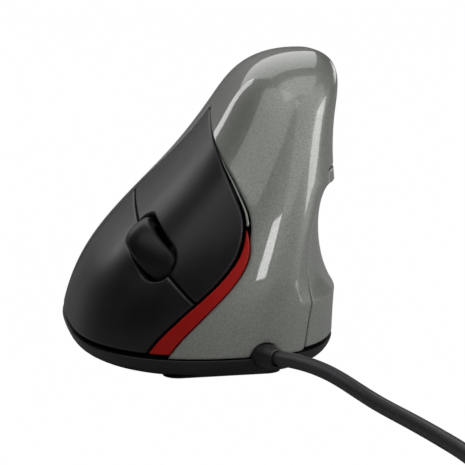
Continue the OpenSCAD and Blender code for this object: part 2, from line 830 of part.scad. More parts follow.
module cable_coil() {
  color(black) coil_ring(coil_z, coil_z + coil_h, 0);
}

// A flat strap round the coil's section.
module coil_tie() {
  y = [-coil_half - tie_t - tie_gap, coil_half + tie_t + tie_gap + 0.6];
  top = coil_z + coil_h + tie_gap;
  color(black) translate([coil_at[0] - tie_w / 2, coil_at[1] - coil_r, 0]) difference() {
    block([0, y[0], mould_lift], [tie_w, y[1], top + tie_t]);
    block([-1, y[0] + tie_t, mould_lift + tie_t], [tie_w + 1, y[1] - tie_t, top]);
  }
}

module usb_mould() {
  color(black) difference() {
    translate([tail_x - mould_size[0] / 2, mould_y, mould_lift]) cube(mould_size);
    translate([tail_x - mould_pocket[0] / 2, plug_y - mould_pocket[1], plug_z - mould_pocket[2] / 2])
      cube(mould_pocket + [0, 1, 0]);
  }
}

module usb_shell() {
  color(steel) translate([tail_x - plug_size[0] / 2, plug_y, plug_z - plug_size[2] / 2]) difference() {
    cube(plug_size);
    translate([plug_wall, 0.4, plug_wall])
      cube([plug_size[0] - 2 * plug_wall, plug_size[1], plug_size[2] - 2 * plug_wall]);
    for (x = latch_x) translate([x, latch_y, -1]) cube([latch_w, latch_w, 8]);
  }
}

module usb_tongue() {
  color(white) translate([tail_x - tongue_size[0] / 2, plug_y + 0.4, plug_z]) cube(tongue_size);
}

base_shell();
main_shell();
thumb_panel();
rear_side_panel();
upper_key();
lower_key();
red_trim();
edge_lip();
wheel_tyre();
wheel_hub();
wheel_carriage();
wheel_encoder();
carriage_spring();
chassis();
key_board();
upper_switch();
lower_switch();
wheel_switch();
upper_plunger();
lower_plunger();
wheel_plunger();
front_thumb_button();
rear_thumb_button();
thumb_board();
thumb_switches();
front_thumb_plunger();
rear_thumb_plunger();
main_board();
sensor_chip();
sensor_lens();
sensor_led();
led_clip();
controller_chip();
board_parts();
board_ribbon();
cable_socket();
inner_lead();
cable_grommet();
case_screws();
board_screws();
glide_feet();
cable();
cable_coil();
coil_tie();
usb_mould();
usb_shell();
usb_tongue();
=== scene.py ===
import math

import bmesh
import bpy
import numpy as np
from mathutils import Euler, Matrix, Vector


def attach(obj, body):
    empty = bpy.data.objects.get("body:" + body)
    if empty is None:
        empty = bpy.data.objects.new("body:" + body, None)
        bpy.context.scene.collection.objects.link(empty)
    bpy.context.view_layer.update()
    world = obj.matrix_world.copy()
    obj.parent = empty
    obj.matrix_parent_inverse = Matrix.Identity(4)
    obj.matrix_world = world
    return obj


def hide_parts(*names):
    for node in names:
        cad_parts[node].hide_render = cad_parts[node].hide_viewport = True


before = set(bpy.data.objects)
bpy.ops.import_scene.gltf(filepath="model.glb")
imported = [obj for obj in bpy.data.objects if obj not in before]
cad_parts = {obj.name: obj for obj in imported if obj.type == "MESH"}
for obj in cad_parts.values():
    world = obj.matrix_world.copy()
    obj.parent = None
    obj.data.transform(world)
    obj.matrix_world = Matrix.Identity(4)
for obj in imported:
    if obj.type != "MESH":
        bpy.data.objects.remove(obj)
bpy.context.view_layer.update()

MM = 0.001
scene = bpy.context.scene
coll = scene.collection

# ---------------------------------------------------------------- the body's surface
# The same rule as the CAD model's: level slices, each a rounded outline, in millimetres.
SEAM_Z = 6.0
WALL = 1.8
SLICE_Z = np.array([SEAM_Z, 17, 31, 47, 63, 78.5, 78.5])
SIDE_LEFT = np.array([-34.8, -32.3, -22.8, -5.8, 5.2, 12.7, 28.2])
SIDE_RIGHT = np.array([33.8, 33.7, 35.5, 32.9, 31.7, 36.2, 28.2])
END_FRONT = np.array([-49.6, -51.1, -49.6, -45.6, -41.1, -34.1, -9.1])
END_BACK = np.array([54.4, 55.4, 49.4, 38.9, 25.4, 10.4, -9.1])
KNOTS = [0, 0, 0, 0, 1, 2, 3, 4, 4, 4, 4]
AXIS_X = 0.55
AXIS_Y = 0.4
BACK_ROUND = 2.5
FRONT_ROUND = 2.4
SKIRT_DROP = 100
SCOOP_DEPTH = 5.2
SCOOP_Z = 34
SCOOP_UP = 13.2
SCOOP_DOWN = 15.5
SCOOP_SHARP = (0.68, 0.95)
SCOOP_FRONT = (-80, 24)
SCOOP_BACK = (84, 36)
FRONT_EDGE = [(6, 237), (11, 241.5), (16, 247), (25, 256.5), (32, 260), (40, 257), (46, 249),
              (51, 238), (55, 222), (58, 196), (60.5, 162), (62.5, 141)]
BACK_EDGE = [(6, 118), (25, 121), (45, 128), (62.5, 138)]
CREST_S = 0.72
KEY_S = 0.0075
SKIRT_S = 0.006
KEY_GAP = 1.2
SPLIT_GAP = 0.6
KEY_REAR = 14.0
TRIM_WIDTH = 7.2
TRIM_TOP = 38.5
LIP_WIDTH = 1.6
LIP_TOP = 60
LIP_LOW_S = 0.372
PANEL_FRONT = 295
PANEL_BACK = 410
PANEL_S = (0.006, 0.55)
BUTTON_S = (0.385, 0.452)
BUTTON_ANGLE = [(330, 359.5), (363.2, 395)]
BUTTON_GAP = 1.1
BUTTON_GAP_S = 0.008
FACE_AT = np.array([-17.5, -30.8, 32.3])
FACE_TILT = (26, -46, -13.5)
SLOT_L = 27
SLOT_W = 10.6
WHEEL_R = 12.5
WHEEL_W = 8.2
WHEEL_OUT = 4.3
TYRE_T = 1.9

FAR_INSIDE = 50.0
FACE = np.array(Euler([math.radians(v) for v in FACE_TILT]).to_matrix())


def basis(i, p, t):
    """Basis function i of degree p of the skin's spline, at t."""
    if p == 0:
        return ((t >= KNOTS[i]) & (t < KNOTS[i + 1])).astype(float)
    low = KNOTS[i + p] - KNOTS[i]
    high = KNOTS[i + p + 1] - KNOTS[i + 1]
    out = 0 * t
    if low:
        out = out + (t - KNOTS[i]) / low * basis(i, p - 1, t)
    if high:
        out = out + (KNOTS[i + p + 1] - t) / high * basis(i + 1, p - 1, t)
    return out


def slices(s):
    """Rows of [z, left, right, front, back] at s, 0 at the seam and 1 at the crown."""
    s = np.asarray(s, float)
    t = np.clip(4 * s, 0, 3.9999)
    w = np.stack([basis(i, 3, t) for i in range(7)], -1)
    rows = [w @ c for c in (SLICE_Z, SIDE_LEFT, SIDE_RIGHT, END_FRONT, END_BACK)]
    rows[0] = rows[0] + SKIRT_DROP * np.minimum(s, 0)
    return rows


def ease(t):
    """A smooth step from 0 to 1 while t goes from 0 to 1."""
    u = np.clip(t, 0, 1)
    return u * u * (3 - 2 * u)


def scoop(z, a):
    """How far the thumb side is pressed in at height z and angle a."""
    b = (a + 180) % 360 - 180
    up = z > SCOOP_Z
    t = (z - SCOOP_Z) / np.where(up, SCOOP_UP, SCOOP_DOWN)
    dip = np.clip(1 - t * t, 0, 1) ** np.where(up, SCOOP_SHARP[0], SCOOP_SHARP[1])
    window = ease((b - SCOOP_FRONT[0]) / SCOOP_FRONT[1]) * ease((SCOOP_BACK[0] - b) / SCOOP_BACK[1])
    return SCOOP_DEPTH * dip * window


def rim(s, a, inset=0.0):
    """Points of the body's skin, s and a being arrays of one shape."""
    z, left, right, front, back = slices(s)
    left, right, front, back = left + inset, right - inset, front + inset, back - inset
    cx = left + AXIS_X * (right - left)
    cy = front + AXIS_Y * (back - front)
    c = np.cos(np.radians(a))
    n = np.sin(np.radians(a))
    rx = np.where(c >= 0, right - cx, cx - left)
    ry = np.where(n >= 0, back - cy, cy - front)
    k = np.where(n >= 0, BACK_ROUND, FRONT_ROUND)
    r = ((np.abs(c) / rx) ** k + (np.abs(n) / ry) ** k) ** (-1 / k)
    return np.stack([cx + r * c - scoop(z, a), cy + r * n, z], -1)


def skin_grid(s_values, a_values):
    """The grid of s and a, with the skin's points and outward normals there."""
    s, a = np.meshgrid(s_values, a_values, indexing="ij")
    p = rim(s, a)
    around = rim(s, a + 0.25) - rim(s, a - 0.25)
    up = rim(s + 0.001, a) - rim(s - 0.001, a)
    n = np.cross(around, up)
    n /= np.linalg.norm(n, axis=-1)[..., None]
    return s, a, p, n


def curve_at(points, z):
    """The angle of an outline at heights z, smooth through its points."""
    pz = np.array([p[0] for p in points], float)
    pa = np.array([p[1] for p in points], float)
    m = np.empty(len(pz))
    m[1:-1] = (pa[2:] - pa[:-2]) / (pz[2:] - pz[:-2])
    m[0] = (pa[1] - pa[0]) / (pz[1] - pz[0])
    m[-1] = (pa[-1] - pa[-2]) / (pz[-1] - pz[-2])
    i = np.clip(np.searchsorted(pz, z, side="right") - 1, 0, len(pz) - 2)
    h = pz[i + 1] - pz[i]
    t = np.clip((z - pz[i]) / h, 0, 1)
    return (pa[i] * (2 * t ** 3 - 3 * t * t + 1) + pa[i + 1] * (3 * t * t - 2 * t ** 3)
            + m[i] * h * (t ** 3 - 2 * t * t + t) + m[i + 1] * h * (t ** 3 - t * t))


def face_lo(z):
    """The angle of the finger side's back edge at height z."""
    return curve_at(BACK_EDGE, z)


def face_hi(z):
    """The angle of the finger side's front edge at height z, kept past its back edge."""
    return np.maximum(curve_at(FRONT_EDGE, z), face_lo(z) + 2.5)


def trim_at(z):
    """The red stripe's width in degrees at height z."""
    share = np.clip((z - SEAM_Z) / (TRIM_TOP - SEAM_Z), 0, 1)
    return TRIM_WIDTH * (1 - share ** 2.4)


def lip_at(z):
    """The crest lip's width in degrees at height z."""
    return np.where(z < LIP_TOP, LIP_WIDTH, LIP_WIDTH * np.maximum(0.3, 1 - (z - LIP_TOP) / 3))


def band_at(z):
    """The wider of the stripe and the lip at height z."""
    return np.maximum(trim_at(z), lip_at(z))


def in_face(p):
    """Points in the frame of the keys: x up across the face, y to the back, z out."""
    return (p - FACE_AT) @ FACE


def gradient_distance(g, s, a, p):
    """Field g as a distance in millimetres along the surface, near its zero line."""
    ds = np.gradient(s, axis=0)
    da = np.gradient(a, axis=1)
    gs = np.gradient(g, axis=0) / ds
    ga = np.gradient(g, axis=1) / da
    ps = np.gradient(p, axis=0) / ds[..., None]
    pa = np.gradient(p, axis=1) / da[..., None]
    e = (ps * ps).sum(-1)
    f = (ps * pa).sum(-1)
    h = (pa * pa).sum(-1)
    size2 = (h * gs * gs - 2 * f * gs * ga + e * ga * ga) / np.maximum(e * h - f * f, 1e-9)
    return g / np.sqrt(np.maximum(size2, 1e-9))


def split_at(values, tris, field, level):
    """Cut every triangle that crosses field == level. values are per point columns."""
    f = field(values)
    near = np.abs(f - level) < 0.015
    f = np.where(near, level, f)
    values[:, -1] = f
    side = f >= level
    s3 = side[tris]
    on_line = f[tris] == level
    flat = s3.all(1) | ~s3.any(1) | (on_line | ~s3).all(1) | (on_line | s3).all(1)
    keep = tris[flat]
    new_points = []
    cache = {}
    base = len(values)

    def mid(i, j):
        key = (i, j) if i < j else (j, i)
        if key not in cache:
            t = (level - f[i]) / (f[j] - f[i])
            point = values[i] + t * (values[j] - values[i])
            point[-1] = level
            cache[key] = base + len(new_points)
            new_points.append(point)
        return cache[key]

    extra = []
    for tri in tris[~flat]:
        a, b, c = (int(v) for v in tri)
        on = [k for k in (a, b, c) if f[k] == level]
        if on:
            while f[a] != level:
                a, b, c = b, c, a
            m = mid(b, c)
            extra += [(a, b, m), (a, m, c)]
            continue
        while side[b] != side[c]:
            a, b, c = b, c, a
        m, n = mid(a, b), mid(a, c)
        extra += [(a, m, n), (m, b, c), (m, c, n)]
    if new_points:
        values = np.vstack([values, np.array(new_points)])
    if extra:
        keep = np.vstack([keep, np.array(extra, dtype=int)])
    return values, keep


def make_mesh(name, points, faces, smooth=True):
    """An object in the scene, from points in metres and faces."""
    mesh = bpy.data.meshes.new(name)
    mesh.from_pydata([tuple(p) for p in points], [], [tuple(int(i) for i in f) for f in faces])
    mesh.validate()
    mesh.polygons.foreach_set("use_smooth", [smooth] * len(mesh.polygons))
    obj = bpy.data.objects.new(name, mesh)
    coll.objects.link(obj)
    return obj


def skin_piece(name, s_range, a_range, field, edge, lift=0.0, wall=WALL, rows=100, cols=160, closed=False):
    """A shell piece with round edges: the part of the skin where its field is positive.

    field(s, a, p, dist) gives how far inside the piece a point lies, in millimetres, and dist turns a
    plain difference of s, angles or places into such a distance. wall is the thickness inwards."""
    s_values = np.linspace(s_range[0], s_range[1], rows)
    a_values = np.linspace(a_range[0], a_range[1], cols)
    s, a, p, n = skin_grid(s_values, a_values)
    f = np.minimum(field(s, a, p, lambda g: gradient_distance(g, s, a, p)), FAR_INSIDE)
    count_a = cols - 1 if closed else cols
    values = np.concatenate([p[:, :count_a], n[:, :count_a], f[:, :count_a, None]], -1).reshape(-1, 7)
    i, j = np.meshgrid(np.arange(rows - 1), np.arange(cols - 1), indexing="ij")
    q = (i * count_a + j % count_a).ravel()
    r = (i * count_a + (j + 1) % count_a).ravel()
    t = q + count_a
    u = r + count_a
    tris = np.vstack([np.stack([q, r, u], 1), np.stack([q, u, t], 1)])
    if closed:
        height, left, _, front, _ = slices(1.0)
        values = np.vstack([values, [left, front, height, 0, 0, 1, FAR_INSIDE]])
        last = (rows - 1) * count_a
        ring = [(last + k, last + (k + 1) % count_a, len(values) - 1) for k in range(count_a)]
        tris = np.vstack([tris, ring])
    near = (values[tris][:, :, -1] > -3).any(1)
    tris = tris[near]
    for level in (0.0, edge * 0.3, edge):
        values, tris = split_at(values, tris, lambda v: v[:, -1], level)
    tris = tris[(values[tris][:, :, -1] >= -1e-6).all(1)]
    used, inverse = np.unique(tris, return_inverse=True)
    values = values[used]
    tris = inverse.reshape(-1, 3)
    d = np.clip(values[:, -1], 0, edge)
    sink = edge - np.sqrt(np.maximum(edge * edge - (edge - d) ** 2, 0))
    outer = values[:, :3] + values[:, 3:6] * (lift - sink)[:, None]
    inner = values[:, :3] - values[:, 3:6] * wall
    points = np.vstack([outer, inner]) * MM
    count = len(outer)
    edges = np.vstack([tris[:, [0, 1]], tris[:, [1, 2]], tris[:, [2, 0]]])
    key = edges[:, 0] * count + edges[:, 1]
    back = edges[:, 1] * count + edges[:, 0]
    rim_edges = edges[~np.isin(key, back)]
    walls = [(b, a2, a2 + count, b + count) for a2, b in rim_edges]
    faces = [tuple(v) for v in tris] + [(v[0] + count, v[2] + count, v[1] + count) for v in tris] + walls
    obj = make_mesh(name, points, faces)
    sharp_edges(obj, 50)
    return obj


def sharp_edges(obj, degrees):
    """Marks the edges that bend more than this as sharp, for shading."""
    bm = bmesh.new()
    bm.from_mesh(obj.data)
    limit = math.radians(degrees)
    for e in bm.edges:
        if len(e.link_faces) == 2 and e.calc_face_angle(0) > limit:
            e.smooth = False
    bm.to_mesh(obj.data)
    bm.free()


# ---------------------------------------------------------------- materials
def new_material(name):
    """A new material, with its nodes, links and main shader."""
    mat = bpy.data.materials.new(name)
    mat.use_nodes = True
    nodes = mat.node_tree.nodes
    return mat, nodes, mat.node_tree.links, nodes["Principled BSDF"]


def noise(nodes, links, coords, scale, detail=3.0):
    """A noise value between 0 and 1."""
    node = nodes.new("ShaderNodeTexNoise")
    node.inputs["Scale"].default_value = scale
    node.inputs["Detail"].default_value = detail
    links.new(coords, node.inputs["Vector"])
    return node.outputs["Fac"]


def remap(nodes, links, value, low, high, from_low=0.3, from_high=0.7):
    """The value, mapped from one range to another."""
    node = nodes.new("ShaderNodeMapRange")
    node.inputs["From Min"].default_value = from_low
    node.inputs["From Max"].default_value = from_high
    node.inputs["To Min"].default_value = low
    node.inputs["To Max"].default_value = high
    links.new(value, node.inputs["Value"])
    return node.outputs["Result"]


def two_tone(nodes, links, value, dark, light, low=0.35, high=0.65):
    """A colour from dark to light while the value goes from low to high."""
    ramp = nodes.new("ShaderNodeValToRGB")
    ramp.color_ramp.elements[0].position = low
    ramp.color_ramp.elements[1].position = high
    ramp.color_ramp.elements[0].color = (*dark, 1)
    ramp.color_ramp.elements[1].color = (*light, 1)
    links.new(value, ramp.inputs["Fac"])
    return ramp.outputs["Color"]


def bump(nodes, links, value, strength, distance):
    """A normal that follows the value as a relief."""
    node = nodes.new("ShaderNodeBump")
    node.inputs["Strength"].default_value = strength
    node.inputs["Distance"].default_value = distance
    links.new(value, node.inputs["Height"])
    return node.outputs["Normal"]


def object_coords(nodes):
    """The object's own coordinates."""
    return nodes.new("ShaderNodeTexCoord").outputs["Object"]


def flake_paint():
    """Gray metallic paint: fine bright flakes under a clear coat."""
    mat, nodes, links, shader = new_material("flake_paint")
    coords = object_coords(nodes)
    flakes = nodes.new("ShaderNodeTexVoronoi")
    flakes.inputs["Scale"].default_value = 5200
    links.new(coords, flakes.inputs["Vector"])
    sparkle = nodes.new("ShaderNodeSeparateColor")
    links.new(flakes.outputs["Color"], sparkle.inputs["Color"])
    color = two_tone(nodes, links, sparkle.outputs["Red"],
                     (0.262, 0.274, 0.246), (0.372, 0.388, 0.350), 0.1, 0.95)
    links.new(color, shader.inputs["Base Color"])
    links.new(remap(nodes, links, sparkle.outputs["Green"], 0.34, 0.52, 0, 1), shader.inputs["Roughness"])
    links.new(bump(nodes, links, sparkle.outputs["Blue"], 0.10, 0.00003), shader.inputs["Normal"])
    shader.inputs["Metallic"].default_value = 0.35
    shader.inputs["Coat Weight"].default_value = 1.0
    shader.inputs["Coat Roughness"].default_value = 0.035
    shader.inputs["Coat IOR"].default_value = 1.5
    return mat


def soft_touch(name, dark, light, rough, grain, sheen=0.0, specular=0.5):
    """Black rubberised coating with a very fine grain."""
    mat, nodes, links, shader = new_material(name)
    coords = object_coords(nodes)
    cloud = noise(nodes, links, coords, 90, 4)
    fine = noise(nodes, links, coords, grain, 2)
    links.new(two_tone(nodes, links, cloud, dark, light), shader.inputs["Base Color"])
    links.new(remap(nodes, links, cloud, rough - 0.03, rough + 0.04), shader.inputs["Roughness"])
    links.new(bump(nodes, links, fine, 0.12, 0.00004), shader.inputs["Normal"])
    shader.inputs["Specular IOR Level"].default_value = specular
    shader.inputs["Sheen Weight"].default_value = sheen
    shader.inputs["Sheen Roughness"].default_value = 0.5
    return mat


def satin_plastic(name, dark, light, rough, coat=0.0, specular=0.5):
    """Moulded plastic with a fine matt texture."""
    mat, nodes, links, shader = new_material(name)
    coords = object_coords(nodes)
    cloud = noise(nodes, links, coords, 120, 3)
    fine = noise(nodes, links, coords, 2600, 2)
    links.new(two_tone(nodes, links, cloud, dark, light), shader.inputs["Base Color"])
    links.new(remap(nodes, links, fine, rough - 0.05, rough + 0.06), shader.inputs["Roughness"])
    links.new(bump(nodes, links, fine, 0.15, 0.00003), shader.inputs["Normal"])
    shader.inputs["Specular IOR Level"].default_value = specular
    shader.inputs["Coat Weight"].default_value = coat
    shader.inputs["Coat Roughness"].default_value = 0.2
    return mat


def metal(name, dark, light, rough):
    """Plated or drawn sheet metal with a faint even grain."""
    mat, nodes, links, shader = new_material(name)
    grain = noise(nodes, links, object_coords(nodes), 900, 4)
    links.new(two_tone(nodes, links, grain, dark, light), shader.inputs["Base Color"])
    links.new(remap(nodes, links, grain, rough - 0.06, rough + 0.08), shader.inputs["Roughness"])
    links.new(bump(nodes, links, grain, 0.1, 0.000001), shader.inputs["Normal"])
    shader.inputs["Metallic"].default_value = 1.0
    return mat


def board_mask():
    """Green solder mask with faint straight tracks under it."""
    mat, nodes, links, shader = new_material("board_mask")
    coords = object_coords(nodes)
    tracks = nodes.new("ShaderNodeTexBrick")
    tracks.inputs["Scale"].default_value = 260
    tracks.inputs["Mortar Size"].default_value = 0.06
    tracks.inputs["Color1"].default_value = (0.010, 0.080, 0.034, 1)
    tracks.inputs["Color2"].default_value = (0.012, 0.092, 0.038, 1)
    tracks.inputs["Mortar"].default_value = (0.030, 0.160, 0.070, 1)
    links.new(coords, tracks.inputs["Vector"])
    links.new(tracks.outputs["Color"], shader.inputs["Base Color"])
    links.new(remap(nodes, links, noise(nodes, links, coords, 400), 0.28, 0.42), shader.inputs["Roughness"])
    links.new(bump(nodes, links, tracks.outputs["Fac"], 0.2, 0.00003), shader.inputs["Normal"])
    return mat


def clear_plastic():
    """Water-clear lens plastic."""
    mat, nodes, links, shader = new_material("clear_plastic")
    haze = noise(nodes, links, object_coords(nodes), 500)
    links.new(remap(nodes, links, haze, 0.03, 0.12), shader.inputs["Roughness"])
    color = two_tone(nodes, links, haze, (0.82, 0.88, 0.9), (0.92, 0.96, 0.97))
    links.new(color, shader.inputs["Base Color"])
    shader.inputs["Transmission Weight"].default_value = 0.9
    shader.inputs["IOR"].default_value = 1.49
    return mat


PAINT = flake_paint()
SOFT = soft_touch("soft_touch", (0.0085, 0.0080, 0.0095), (0.0115, 0.0110, 0.0125), 0.35, 2400, 0.03, 0.45)
BASE = satin_plastic("base_black", (0.0075, 0.0070, 0.0080), (0.011, 0.0105, 0.0120), 0.42)
RED = satin_plastic("trim_red", (0.43, 0.0065, 0.0040), (0.47, 0.0085, 0.0050), 0.45, specular=0.25)
TYRE = soft_touch("tyre_rubber", (0.0085, 0.0082, 0.0088), (0.0125, 0.0120, 0.0130), 0.36, 1800, 0.0, 0.25)
MOULDED = satin_plastic("moulded_black", (0.010, 0.010, 0.011), (0.016, 0.016, 0.017), 0.45)
JACKET = soft_touch("cable_jacket", (0.0370, 0.0355, 0.0400), (0.0450, 0.0435, 0.0480), 0.40, 1500)
STRAP = soft_touch("strap_weave", (0.012, 0.012, 0.013), (0.022, 0.022, 0.024), 0.8, 1200, 0.3)
BROWN = satin_plastic("encoder_brown", (0.16, 0.085, 0.025), (0.21, 0.12, 0.04), 0.40)
WHITE = satin_plastic("moulded_white", (0.70, 0.68, 0.62), (0.80, 0.78, 0.72), 0.40)
FILM = satin_plastic("ribbon_film", (0.62, 0.60, 0.52), (0.74, 0.72, 0.64), 0.35)
PAD = satin_plastic("glide_pad", (0.016, 0.016, 0.018), (0.026, 0.026, 0.028), 0.30)
LED = satin_plastic("led_red", (0.42, 0.02, 0.015), (0.52, 0.035, 0.02), 0.12, coat=0.6)
STEEL = metal("plated_steel", (0.50, 0.50, 0.51), (0.62, 0.62, 0.63), 0.28)
CANS = metal("can_metal", (0.55, 0.55, 0.56), (0.68, 0.68, 0.70), 0.32)
BOARD = board_mask()
CLEAR = clear_plastic()

CAD_LOOKS = {
    MOULDED: ["wheel_hub", "wheel_carriage", "chassis", "led_clip", "cable_grommet", "upper_switch",
              "lower_switch", "wheel_switch", "thumb_switches", "sensor_chip", "controller_chip"],
    BROWN: ["wheel_encoder"],
    STEEL: ["carriage_spring", "case_screws", "board_screws", "usb_shell"],
    BOARD: ["key_board", "thumb_board", "main_board"],
    WHITE: ["upper_plunger", "lower_plunger", "wheel_plunger", "front_thumb_plunger",
            "rear_thumb_plunger", "cable_socket", "usb_tongue"],
    CLEAR: ["sensor_lens"],
    LED: ["sensor_led"],
    CANS: ["board_parts"],
    FILM: ["board_ribbon"],
    JACKET: ["inner_lead"],
    PAD: ["glide_feet"],
}


def dress(obj, mat):
    """Gives a piece its one material."""
    obj.data.materials.clear()
    obj.data.materials.append(mat)
    return obj


# ---------------------------------------------------------------- camera
CAMERA_AIM = Vector((11.4, 1.4, 27.7)) * MM
CAMERA_AZIMUTH = -12
CAMERA_ELEVATION = 11
CAMERA_DISTANCE = 0.520
CAMERA_WIDTH_SEEN = 0.126
CAMERA_SENSOR = 36


def direction_to(azimuth, elevation):
    """Unit vector towards azimuth 0 = -Y, 90 = +X, at a height angle, all in degrees."""
    az, el = math.radians(azimuth), math.radians(elevation)
    return Vector((math.sin(az) * math.cos(el), -math.cos(az) * math.cos(el), math.sin(el)))


def add_camera():
    """The camera, looking at CAMERA_AIM from CAMERA_DISTANCE."""
    data = bpy.data.cameras.new("camera")
    data.sensor_width = CAMERA_SENSOR
    data.lens = CAMERA_SENSOR * CAMERA_DISTANCE / CAMERA_WIDTH_SEEN
    data.clip_start = 0.01
    cam = bpy.data.objects.new("camera", data)
    coll.objects.link(cam)
    away = direction_to(CAMERA_AZIMUTH, CAMERA_ELEVATION)
    cam.location = CAMERA_AIM + away * CAMERA_DISTANCE
    cam.rotation_euler = (-away).to_track_quat("-Z", "Y").to_euler()
    scene.camera = cam


add_camera()

# ---------------------------------------------------------------- cable, coil and plug
CABLE_D = 3.8
CABLE_R = CABLE_D / 2
COIL_AT = (61.5, -133.5)
COIL_Z = 0.5
COIL_R = 21.0
COIL_PITCH = CABLE_D + 0.1
COIL_OUT = COIL_R + COIL_PITCH
TAIL_X = COIL_AT[0] + COIL_OUT
LEAD_ROUTE = [(7.2, -46.7, 6.6), (9.2, -50.2, 6.6), (12.5, -54.2, 6.6), (14.7, -56.3, 6.5), (17.9, -59.5, 6.1),
              (21.1, -63.6, 5.3), (23.8, -68.8, 4.2), (26, -74.5, 3.1), (28, -80.7, 2.3), (29.9, -87.5, 1.95),
              (31.7, -95, CABLE_R), (33.3, -103, CABLE_R), (34.8, -111.5, CABLE_R), (36.2, -120, CABLE_R),
              (36.7, -127, CABLE_R)]
TAIL_RISE = [(5, 5.6), (11, 4.6), (17, 4.1), (22.5, 4.1)]
# Which column, 0 outside, and which row of the coil each turn lies in.
COIL_SLOTS = [(0, 0), (1, 0), (2, 0), (2, 1), (1, 1), (1, 2), (2, 2), (2, 3), (1, 3), (0, 2), (0, 1)]
TURN_POINTS = 20


def slot_place(k):
    """Radius and height of turn k in the coil."""
    column, row = COIL_SLOTS[min(k, len(COIL_SLOTS) - 1)]
    return COIL_OUT - column * COIL_PITCH, COIL_Z + CABLE_R + row * CABLE_D


def coil_points():
    """Ten and a half turns, each sliding into the next place over its last three tenths."""
    points = []
    steps = int(10.5 * TURN_POINTS)
    for i in range(steps + 1):
        turn = i / TURN_POINTS
        k = int(turn)
        share = ease((turn - k - 0.7) / 0.3)
        r0, z0 = slot_place(k)
        r1, z1 = slot_place(k + 1)
        r = r0 + (r1 - r0) * share
        z = z0 + (z1 - z0) * share
        if turn < 0.35:
            z -= COIL_Z * (1 - turn / 0.35)
        a = math.pi + 2 * math.pi * turn
        points.append((COIL_AT[0] + r * math.cos(a), COIL_AT[1] + r * math.sin(a), z))
    return points


def add_cable():
    """The cord as one tube: lead, coil and tail."""
    points = LEAD_ROUTE + coil_points() + [(TAIL_X, COIL_AT[1] + y, z) for y, z in TAIL_RISE]
    curve = bpy.data.curves.new("cable_lead", "CURVE")
    curve.dimensions = "3D"
    curve.bevel_depth = CABLE_R * MM
    curve.bevel_resolution = 7
    curve.use_fill_caps = True
    curve.resolution_u = 8
    spline = curve.splines.new("NURBS")
    spline.points.add(len(points) - 1)
    for point, place in zip(spline.points, points):
        point.co = (*(v * MM for v in place), 1)
    spline.order_u = 4
    spline.use_endpoint_u = True
    cable = bpy.data.objects.new("cable_lead", curve)
    coll.objects.link(cable)
    return dress(cable, JACKET)


def rounded_box(name, low, high, radius, segments=4):
    bm = bmesh.new()
    bmesh.ops.create_cube(bm, size=1)
    size = [h - l for l, h in zip(low, high)]
    for v in bm.verts:
        v.co = Vector([(v.co[k] + 0.5) * size[k] + low[k] for k in range(3)]) * MM
    bmesh.ops.bevel(bm, geom=list(bm.edges), offset=radius * MM, segments=segments, profile=0.5,
                    affect="EDGES")
    mesh = bpy.data.meshes.new(name)
    bm.to_mesh(mesh)
    bm.free()
    mesh.polygons.foreach_set("use_smooth", [True] * len(mesh.polygons))
    obj = bpy.data.objects.new(name, mesh)
    coll.objects.link(obj)
    sharp_edges(obj, 40)
    return obj


def revolve(name, profile, segments, place):
    """A closed profile of (radius, height) turned about its axis; place puts it in the frame."""
    count = len(profile)
    points, faces = [], []
    for i in range(segments):
        a = 2 * math.pi * i / segments
        for r, z in profile:
            points.append(place @ Vector((r * math.cos(a), r * math.sin(a), z)) * MM)
    for i in range(segments):
        for j in range(count):
            k, m = i * count, (i + 1) % segments * count
            faces.append((k + j, m + j, m + (j + 1) % count, k + (j + 1) % count))
    return make_mesh(name, points, faces)


def cut_with(obj, cutters):
    """Takes the cutters' volume away from obj and applies it."""
    for cutter in cutters:
        mod = obj.modifiers.new("cut", "BOOLEAN")
        mod.operation = "DIFFERENCE"
        mod.solver = "EXACT"
        mod.object = cutter
    deps = bpy.context.evaluated_depsgraph_get()
    mesh = bpy.data.meshes.new_from_object(obj.evaluated_get(deps))
    obj.modifiers.clear()
    obj.data = mesh
    for cutter in cutters:
        bpy.data.objects.remove(cutter, do_unlink=True)
    return obj


def solid_rod(radius, low, high, place, segments=48):
    """A closed rod along z of a frame, for cutting."""
    ring = [(radius * math.cos(2 * math.pi * i / segments), radius * math.sin(2 * math.pi * i / segments))
            for i in range(segments)]
    points = [place @ Vector((x, y, z)) * MM for z in (low, high) for x, y in ring]
    faces = [(i, (i + 1) % segments, segments + (i + 1) % segments, segments + i) for i in range(segments)]
    faces += [tuple(reversed(range(segments))), tuple(range(segments, 2 * segments))]
    return make_mesh("rod", points, faces, False)


MOULD_SIZE = (15.6, 27.0, 8.2)
MOULD_Y = COIL_AT[1] + 22


def add_plug_mould():
    """The plug's grip, with finger grooves on both sides."""
    low = (TAIL_X - MOULD_SIZE[0] / 2, MOULD_Y, 0.02)
    high = (TAIL_X + MOULD_SIZE[0] / 2, MOULD_Y + MOULD_SIZE[1], MOULD_SIZE[2] + 0.02)
    body = rounded_box("plug_mould", low, high, 1.3, 5)
    grooves = []
    for side in (-1, 1):
        for k in range(4):
            x = TAIL_X + side * MOULD_SIZE[0] / 2
            y = MOULD_Y + 8 + 3 * k
            grooves.append(rounded_box("groove", (x - 0.55, y, -1), (x + 0.55, y + 1.1, 10), 0.3, 2))
    cut_with(body, grooves)
    sharp_edges(body, 40)
    return dress(body, JACKET)


